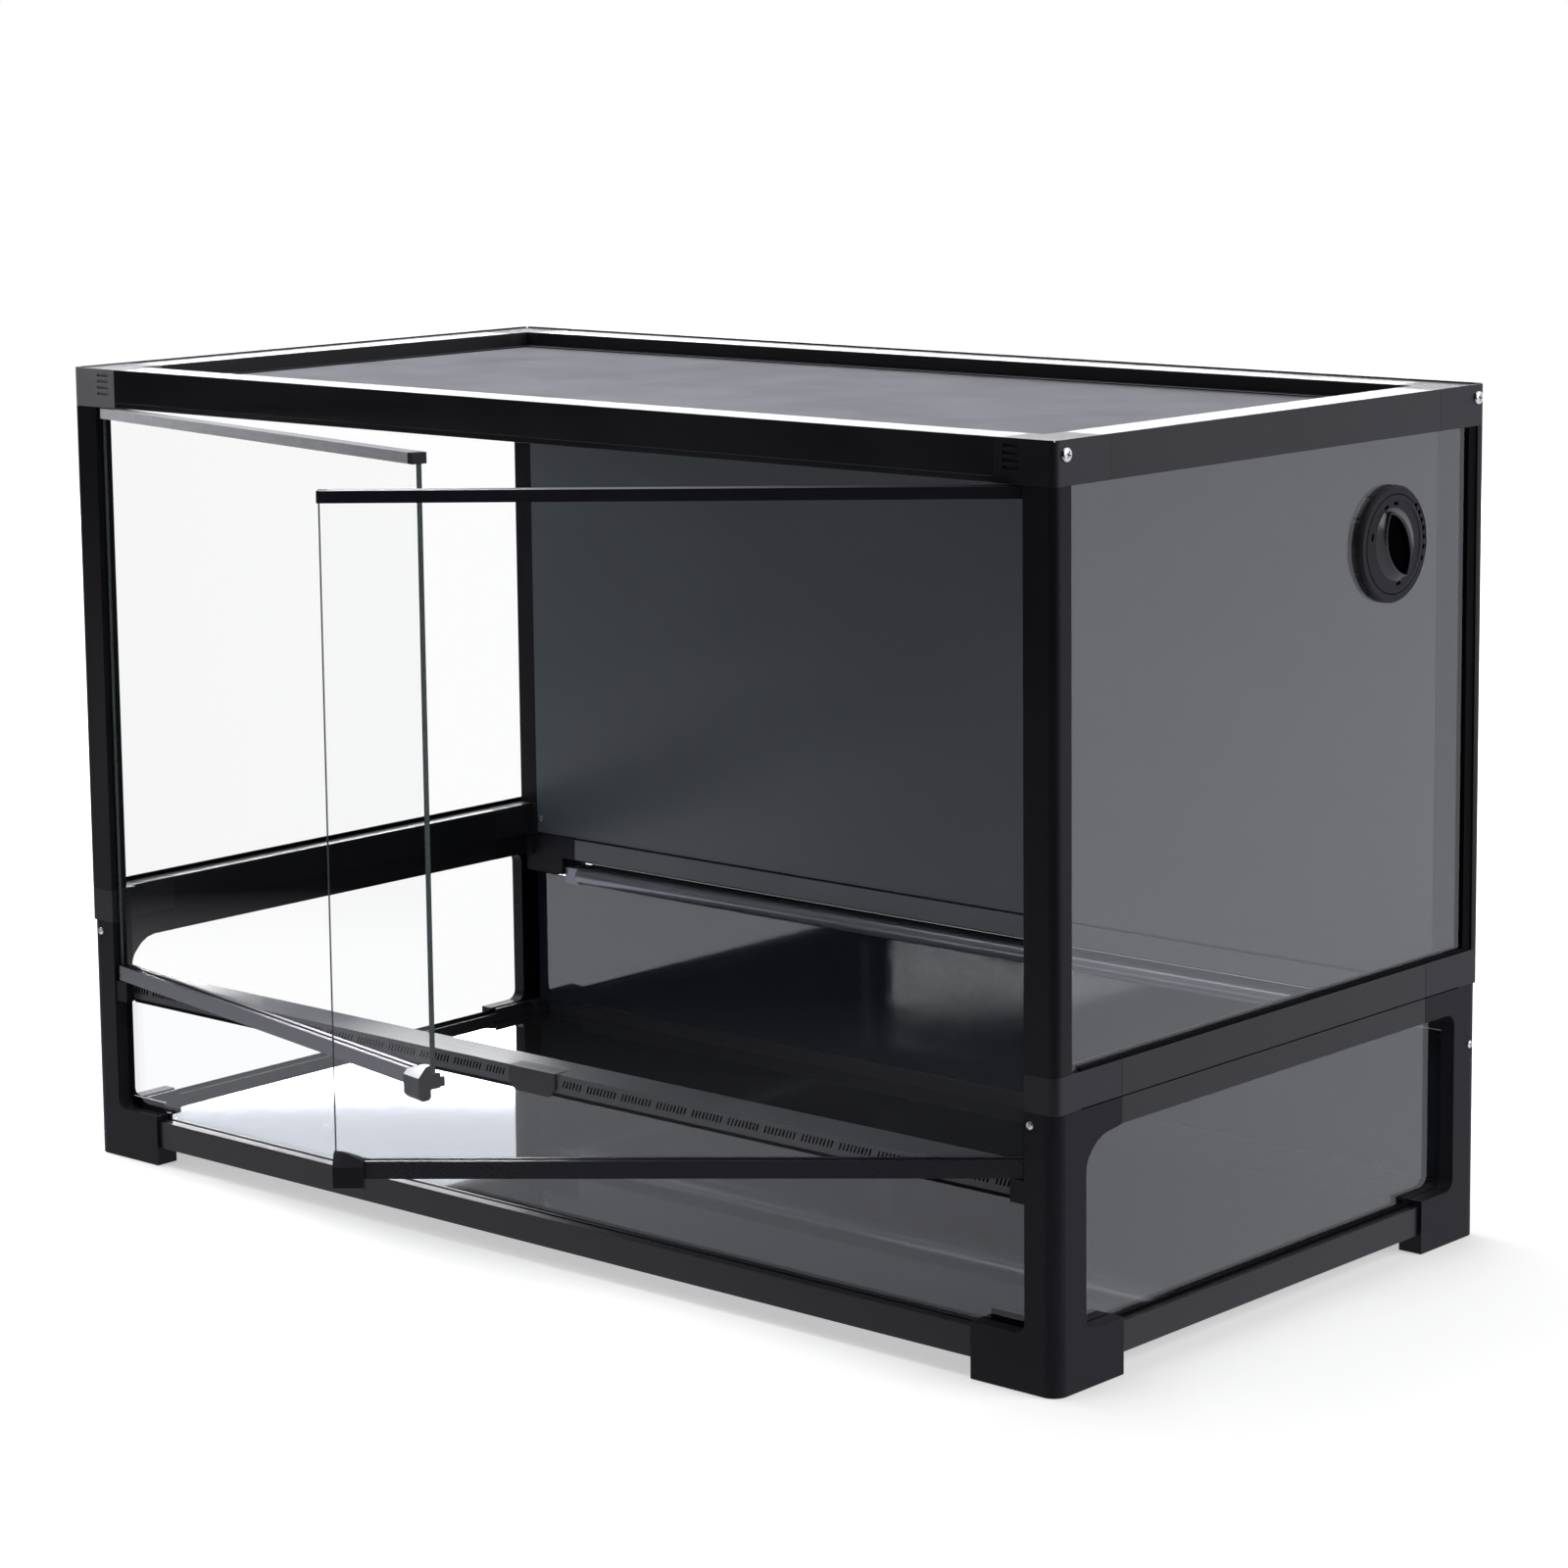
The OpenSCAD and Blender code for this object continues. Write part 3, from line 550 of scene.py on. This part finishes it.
# Almond outlines, each as half length, half width and height
HOLLOW = ((22, 12, 3), (22, 12, 9))
GRIP = ((25, 21, 2.6), (26, 22, 4.4), (25.6, 19.6, 5.0), (25, 17, 5.8), (24.5, 14.8, 6.7),
        (24.1, 13.6, 7.5), (23.7, 13.0, 7.8), (23.1, 12.3, 7.7), (22.7, 11.9, 7.1), (21.5, 11, 3.4))
GRIP_RIM = 7                                    # the hollow's lining ends at this height
# Directions in degrees, of the dial's slots from upright and of the rest from the rear
DIAL_SLOTS = (-2, 22, 75, 190)
FLANGE_POCKETS = (44, 33, 23, 13, 3, -8, -21)
FLANGE_TICKS = (77, 39, 23, 8, -7, -54)
FLANGE_CUTS, FLANGE_FACE = (33.2, 37.3), 4.45   # radii and height that the pockets and ticks lie within


def almond(half_length, half_width, height, points=20):
    """A closed almond outline along the grip's turned axis."""
    r = (half_length ** 2 + half_width ** 2) / (2 * half_width)
    runs = [-half_length * math.cos(math.pi * i / points) for i in range(points + 1)]
    upper = [(x, math.sqrt(r * r - x * x) - (r - half_width)) for x in runs]
    outline = upper + [(x, -y) for x, y in upper[-2:0:-1]]
    cos, sin = math.cos(GRIP_TURN), math.sin(GRIP_TURN)
    return [(cos * y - sin * x, cos * x + sin * y, height) for x, y in outline]


def in_painted_hollow_shade(face):
    """True of a face that looks up into the grip's hollow, or across it to the grip's axis; these faces get
    painted shade.
    """
    across = Vector((math.cos(GRIP_TURN), math.sin(GRIP_TURN), 0))
    centre, normal = face.calc_center_median(), face.normal
    return centre.z < GRIP_RIM and normal.z > 0.02 and normal.dot(across) * centre.dot(across) < 0.01


def vent_dial():
    slots = [block((-2.5, 25.8, 0), (2.5, 28, 8), turn) for turn in DIAL_SLOTS]
    disc = carved(spun(DISC, 96), lofted([almond(*ring) for ring in HOLLOW]), *slots)
    grip = lofted([almond(*ring) for ring in GRIP])
    grip.normal_update()
    # Faces that line the grip's hollow get painted shade.
    for f in grip.faces:
        f.material_index = 1 if in_painted_hollow_shade(f) else 2
    dial = moved(joined(disc, grip, spun(SPINDLE, 24)), AT_VENT)
    piece("vent_dial", shaded(dial), VENT_MOULDING, PAINTED_SHADE_BLACK, VENT_GRIP)


def vent_flange():
    pockets = [block((33, -1.4, 2.4), (35.4, 1.4, 9), turn) for turn in FLANGE_POCKETS]
    ticks = [block((35.9, -0.3, 4.1), (37.2, 0.3, 9), turn) for turn in FLANGE_TICKS]
    flange = carved(moved(merged("vent_flange"), AT_VENT.inverted()), *pockets, *ticks)

    # The faces of the pockets and ticks are painted near black as painted shade.
    def sunk(f):
        x, y, z = f.calc_center_median()
        return FLANGE_CUTS[0] < math.hypot(x, y) < FLANGE_CUTS[1] and 2 < z < FLANGE_FACE

    mark(flange, sunk)
    piece("vent_flange", shaded(moved(flange, AT_VENT)), VENT_MOULDING, PAINTED_SHADE_BLACK)


# Screws, in mm from the middle of the tank ----------------------------------------------

LARGE_HEAD, SMALL_HEAD = 4.5, 2.6               # radii
TOP_SCREW_IN, TOP_SCREW_Z = 10.5, 581           # in the top corners' sides
LEG_SCREW_IN = {-1: 11.5, 1: 20}                # in the front of the lower corners, left and right
LEG_SCREW_Z = 170
REAR_SCREW_IN, REAR_SCREW_Z = 11, 136           # in the sides of the rear lower corners
PANEL_SCREW_X, PANEL_SCREW_Y, PANEL_SCREW_Z = 427, 211, 190     # in the back panel's lower corners
FIRST_TURN, NEXT_TURN = 35, 97                  # degrees, so that no two recesses line up


def cross_screw(r):
    """A pan-head screw of head radius r with a cross recess, its head standing on Z = 0."""
    shank = (0, -7.6), (0.3 * r, -7), (0.42 * r, -6), (0.46 * r, 0)
    rim = (r, 0), (r, 0.2 * r), (0.94 * r, 0.33 * r)
    crown = (0.78 * r, 0.43 * r), (0.5 * r, 0.49 * r), (0, 0.49 * r)
    arm, half, bottom = 0.5 * r, 0.11 * r, 0.15 * r
    return carved(spun(shank + rim + crown, 28), block((-arm, -half, bottom), (arm, half, r)),
                  block((-half, -arm, bottom), (half, arm, r)))


def screws():
    """Every connector screw, at its place on the corner pieces."""
    half_w, half_d = HALF_W / MM, HALF_D / MM
    solids = []
    for sign in (-1, 1):
        side, front = Vector((sign, 0, 0)), Vector((0, -1, 0))
        for radius, way, x, y, z in ((LARGE_HEAD, side, half_w, TOP_SCREW_IN - half_d, TOP_SCREW_Z),
                                     (LARGE_HEAD, side, half_w, half_d - TOP_SCREW_IN, TOP_SCREW_Z),
                                     (SMALL_HEAD, front, half_w - LEG_SCREW_IN[sign], -half_d, LEG_SCREW_Z),
                                     (SMALL_HEAD, side, half_w, half_d - REAR_SCREW_IN, REAR_SCREW_Z),
                                     (SMALL_HEAD, front, PANEL_SCREW_X, PANEL_SCREW_Y, PANEL_SCREW_Z)):
            turn = Matrix.Rotation(math.radians(FIRST_TURN + NEXT_TURN * len(solids)), 4, "Z")
            aim = way.to_track_quat("Z", "Y").to_matrix().to_4x4()
            seat = Matrix.Translation((sign * x * MM, y * MM + TANK_Y, z * MM))
            solids.append(moved(cross_screw(radius), seat @ aim @ turn @ Matrix.Scale(MM, 4)))
    piece("connector_screws", shaded(joined(*solids)), STEEL)


# Screen: two layers of wire, laid across one another -----------------------------------

WIRE_PITCH = 1.7 * MM
WIRE_SIDES = 6


def wire_group():
    """Nodes that lay Count wires of Length side by side, Pitch apart, along Y, each running along X."""
    tree = bpy.data.node_groups.new("laid_wires", "GeometryNodeTree")
    for name, kind in (("Count", "Int"), ("Pitch", "Float"), ("Length", "Float"), ("Thickness", "Float"),
                       ("Finish", "Material")):
        tree.interface.new_socket(name, in_out="INPUT", socket_type="NodeSocket" + kind)
    tree.interface.new_socket("Geometry", in_out="OUTPUT", socket_type="NodeSocketGeometry")

    def add(kind, inputs, **settings):
        n = tree.nodes.new(kind)
        for key, value in settings.items():
            setattr(n, key, value)
        for key, value in inputs.items():
            if isinstance(value, bpy.types.NodeSocket):
                tree.links.new(value, n.inputs[key])
            else:
                n.inputs[key].default_value = value
        return n.outputs[0] if n.outputs else n

    given = tree.nodes.new("NodeGroupInput").outputs
    step = add("ShaderNodeCombineXYZ", {"Y": given["Pitch"]})
    line = add("GeometryNodeMeshLine", {"Count": given["Count"], "Offset": step})
    radius = add("ShaderNodeMath", {0: given["Thickness"], 1: 0.5}, operation="MULTIPLY")
    wire = add("GeometryNodeMeshCylinder",
               {"Vertices": WIRE_SIDES, "Radius": radius, "Depth": given["Length"]})
    laid = add("GeometryNodeTransform", {"Geometry": wire, "Rotation": (0, math.pi / 2, 0)})
    rows = add("GeometryNodeInstanceOnPoints", {"Points": line, "Instance": laid})
    real = add("GeometryNodeRealizeInstances", {"Geometry": rows})
    done = add("GeometryNodeSetMaterial", {"Geometry": real, "Material": given["Finish"]})
    add("NodeGroupOutput", {0: done})
    return tree


def laid_wires(group, **values):
    """One layer of wires, its first wire on the X axis."""
    o = loose(bmesh.new())
    m = o.modifiers.new("wires", "NODES")
    m.node_group = group
    for item in group.interface.items_tree:
        if item.in_out == "INPUT":
            m[item.identifier] = values[item.name]
    return as_bmesh(evaluated(o))


def screen():
    low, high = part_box("screen_mesh")
    centre, size = (low + high) / 2, high - low
    thick = size.z / 2
    group = wire_group()
    layers = []
    for span, length, z, turn in ((size.y, size.x, low.z + thick / 2, 0),
                                  (size.x, size.y, high.z - thick / 2, math.pi / 2)):
        count = int(span / WIRE_PITCH)
        layer = laid_wires(group, Count=count, Pitch=WIRE_PITCH, Length=length, Thickness=thick, Finish=WIRE)
        middle = Matrix.Translation((0, -WIRE_PITCH * (count - 1) / 2, 0))
        seat = Matrix.Translation((centre.x, centre.y, z)) @ Matrix.Rotation(turn, 4, "Z")
        layers.append(moved(layer, seat @ middle))
    bpy.data.node_groups.remove(group)
    mesh = bpy.data.meshes.new("raw")
    joined(*layers).to_mesh(mesh)
    for p in mesh.polygons:
        p.use_smooth = True
    mesh.set_sharp_from_angle(angle=math.radians(70))
    piece("screen_mesh", mesh, WIRE)


# Everything, piece by piece -------------------------------------------------------------

for corner in ("fl", "fr", "rl", "rr"):
    eased("lower_corner_" + corner, FOOT_MOULDING)
    eased("mid_corner_" + corner, MOULDING)
    # The front left top corner gets painted light, a lighter grey moulding.
    lipped("top_corner_" + corner, LIGHT_PAINTED_MOULDING if corner == "fl" else MOULDING)
    eased("post_" + corner, POST, RAIL_EASE)
for rail, axis in {"base_rail_front": "x", "base_rail_rear": "x", "base_rail_left": "y",
                   "base_rail_right": "y", "tank_rail_left": "y", "tank_rail_right": "y",
                   "mid_rail_left": "y", "mid_rail_right": "y", "mid_rail_rear": "x",
                   "screen_frame": "x"}.items():
    eased(rail, RAIL[axis], RAIL_EASE)
tank_rear_rail()
eased("rear_edge_bar", ROUND_BAR, RAIL_EASE)
slotted_strip()
for at, axis in (("front", "x"), ("rear", "x"), ("left", "y"), ("right", "y")):
    lipped("top_rail_" + at, RAIL[axis])
eased("door_catch", MOULDING, RAIL_EASE)
eased("vent_nut", MOULDING, RAIL_EASE)
# The left door's channels and pull carry painted reflection and painted highlight; the right door's are
# plain black.
for side, upper, lower, pull, clear in (
        ("left", GLARE_PAINTED_CHANNEL, REFLECTION_PAINTED_CHANNEL, (LIGHT_PAINTED_PULL, HIGHLIGHT_PAINTED_TOP), LEFT_CLEAR),
        ("right", CHANNEL, CHANNEL, (BLACK_PULL, VENT_MOULDING), CLEAR)):
    top_channel(side, upper)
    eased(side + "_door_bottom_channel", lower)
    door_pull(side, *pull)
    eased(side + "_door_pins", STEEL, SHEET_EASE)
    sheet_of_glass(side + "_door_pane", DOOR_CLEAR)
    sheet_of_glass("side_pane_" + side, clear)
    sheet_of_glass("tank_glass_" + side, clear)
sheet_of_glass("tank_glass_front", CLEAR)
eased("base_panel", BASE_SHEET, SHEET_EASE)
eased("tank_panel_rear", TANK_SHEET, SHEET_EASE)
eased("back_panel", BACK_SHEET, SHEET_EASE)
eased("glass_gaskets", RUBBER, SEAL_EASE)
eased("pane_seals", RUBBER, SEAL_EASE)
vent_dial()
vent_flange()
screws()
screen()


# Stage --------------------------------------------------------------------------------

FLOOR_Z, FLOOR_REACH = -0.0005, 30
GLOW_NEAR = 0.47                                # the floor's own white beside the object
GLOW_RUN = 0.75, 2.2                            # distances over which it grows to 1
NEAR_RUN = 1.1, 1.4                             # and over which the mirrored near floor turns dark
RIGHT_RUN, RIGHT_END = (-0.35, 0.35), 0.75      # it is less white towards the right
REAR_RUN = -0.3, 0.05                           # the floor behind is mirrored white, from mid tank
SKY_RUN = -0.25, 0.15                           # and so is the sky, by the Y of its direction
MIRROR_TINT = (0.92, 0.93, 1.0)
WHITE = (1, 1, 1)
AMBIENT = 0.06


def rays(s, *kinds):
    """1 for rays of the kinds named, such as Camera, Glossy or Transmission."""
    return clamp(s, sum(s.node("LightPath", out=f"Is {kind} Ray") for kind in kinds))


def surroundings(s, mirrored):
    """White where it is looked at or through, and as given by mirrored where a surface reflects it."""
    reflected = s.node("LightPath", out="Glossy Depth") > 0.5
    return blend(s, reflected, WHITE, MIRROR_TINT), 1 - reflected + reflected * mirrored


def pale_floor(s):
    """Pale floor that reads as white and keeps the shadow."""
    tone = noise(s, place(s), 3, 3)
    lit = s.node("BsdfDiffuse", {"Color": blend(s, tone, (0.78, 0.78, 0.78), (0.80, 0.80, 0.80))})
    away = s.node("VectorMath", {0: place(s)}, out=1, operation="LENGTH")
    whitening = rays(s, "Camera") * ramp(s, away, *GLOW_RUN, GLOW_NEAR, 1.0)
    seen = s.node("AddShader", {0: lit, 1: s.node("Emission", {"Color": WHITE, "Strength": whitening})})
    near = ramp(s, away, *NEAR_RUN, 1.0, 0.0)
    to_right = ramp(s, along_axis(s, "X"), *RIGHT_RUN, 1.0, RIGHT_END)
    behind = ramp(s, along_axis(s, "Y") - TANK_Y, *REAR_RUN)
    colour, strength = surroundings(s, clamp(s, near * to_right + behind))
    white = s.node("Emission", {"Color": colour, "Strength": strength})
    return s.node("MixShader", {0: rays(s, "Glossy", "Transmission"), 1: seen, 2: white})


def floor():
    r = FLOOR_REACH
    mesh = bpy.data.meshes.new("studio_floor")
    mesh.from_pydata([(x, y, FLOOR_Z) for x, y in ((-r, -r), (r, -r), (r, r), (-r, r))], [], [(0, 1, 2, 3)])
    mesh.materials.append(material("pale_floor", pale_floor))
    o = bpy.data.objects.new("studio_floor", mesh)
    bpy.context.scene.collection.objects.link(o)


def backdrop():
    """White all round, but mirrored dark towards the front, where the camera stands."""
    world = bpy.data.worlds.new("studio")
    bpy.context.scene.world = world
    world.use_nodes = True
    tree = world.node_tree
    tree.nodes.clear()
    s = Signal(tree)
    towards_rear = s.node("SeparateXYZ", {0: s.node("TexCoord")}, out=1)
    colour, strength = surroundings(s, ramp(s, towards_rear, *SKY_RUN))
    seen = rays(s, "Camera", "Glossy", "Transmission")
    surface = s.node("Background", {"Color": colour, "Strength": seen * strength + (1 - seen) * AMBIENT})
    output = tree.nodes.new("ShaderNodeOutputWorld")
    tree.links.new(surface.socket, output.inputs["Surface"])


def softbox(name, at, size, power, aim=(0, 0, 0.3)):
    """A lamp that the camera doesn't see; its place and aim are from the middle of the tank."""
    lamp = bpy.data.lights.new(name, "AREA")
    lamp.shape = "RECTANGLE"
    lamp.size, lamp.size_y = size
    lamp.energy = power
    o = bpy.data.objects.new(name, lamp)
    bpy.context.scene.collection.objects.link(o)
    at, aim = (Vector(v) + Vector((0, TANK_Y, 0)) for v in (at, aim))
    o.location = at
    o.rotation_euler = (aim - at).to_track_quat("-Z", "Y").to_euler()
    o.visible_camera = False
    o.visible_transmission = False
    return o


floor()
backdrop()
softbox("side_softbox", (3.2, 0.9, 1.9), (2.6, 2.0), 60)
softbox("top_softbox", (-0.6, -0.1, 2.7), (2.4, 2.2), 55)
softbox("left_softbox", (-2.2, 0, 2.3), (1.2, 2.0), 42)
softbox("rear_softbox", (-3.0, 3.4, 0.88), (5.0, 0.55), 120, (0, 0, 0.59)).visible_transmission = True
softbox("front_fill", (-1.6, -2.3, 2.0), (2.6, 1.6), 10).visible_glossy = False
softbox("low_fill", (-1.05, -0.95, 0.16), (0.5, 0.25), 0.6, (-0.4, -0.2, 0.08))


# Camera -------------------------------------------------------------------------------
# Solved from the frame's corners in the photograph, taken as 1600 x 1600. The uprights there
# hardly converge, so the lens is shifted a little instead of tilted.

LENS, SENSOR, LENS_SHIFT, CLIP_END = 98.476, 36.0, -0.1, 100
EYE = Vector((2.0179, TANK_Y - 2.2293, 0.8502))
AZIMUTH, ELEVATION, ROLL = (math.radians(v) for v in (41.725, 8.321, -0.625))


def camera():
    forward = Vector((-math.sin(AZIMUTH) * math.cos(ELEVATION), math.cos(AZIMUTH) * math.cos(ELEVATION),
                      -math.sin(ELEVATION)))
    level = Vector((math.cos(AZIMUTH), math.sin(AZIMUTH), 0))
    upright = level.cross(forward)
    right = math.cos(ROLL) * level + math.sin(ROLL) * upright
    up = -math.sin(ROLL) * level + math.cos(ROLL) * upright
    data = bpy.data.cameras.new("camera")
    data.lens, data.sensor_width, data.shift_y = LENS, SENSOR, LENS_SHIFT
    data.clip_end = CLIP_END
    o = bpy.data.objects.new("camera", data)
    bpy.context.scene.collection.objects.link(o)
    o.matrix_world = Matrix.Translation(EYE) @ Matrix((right, up, -forward)).transposed().to_4x4()
    bpy.context.scene.camera = o


camera()
bpy.context.scene.view_settings.view_transform = "Standard"
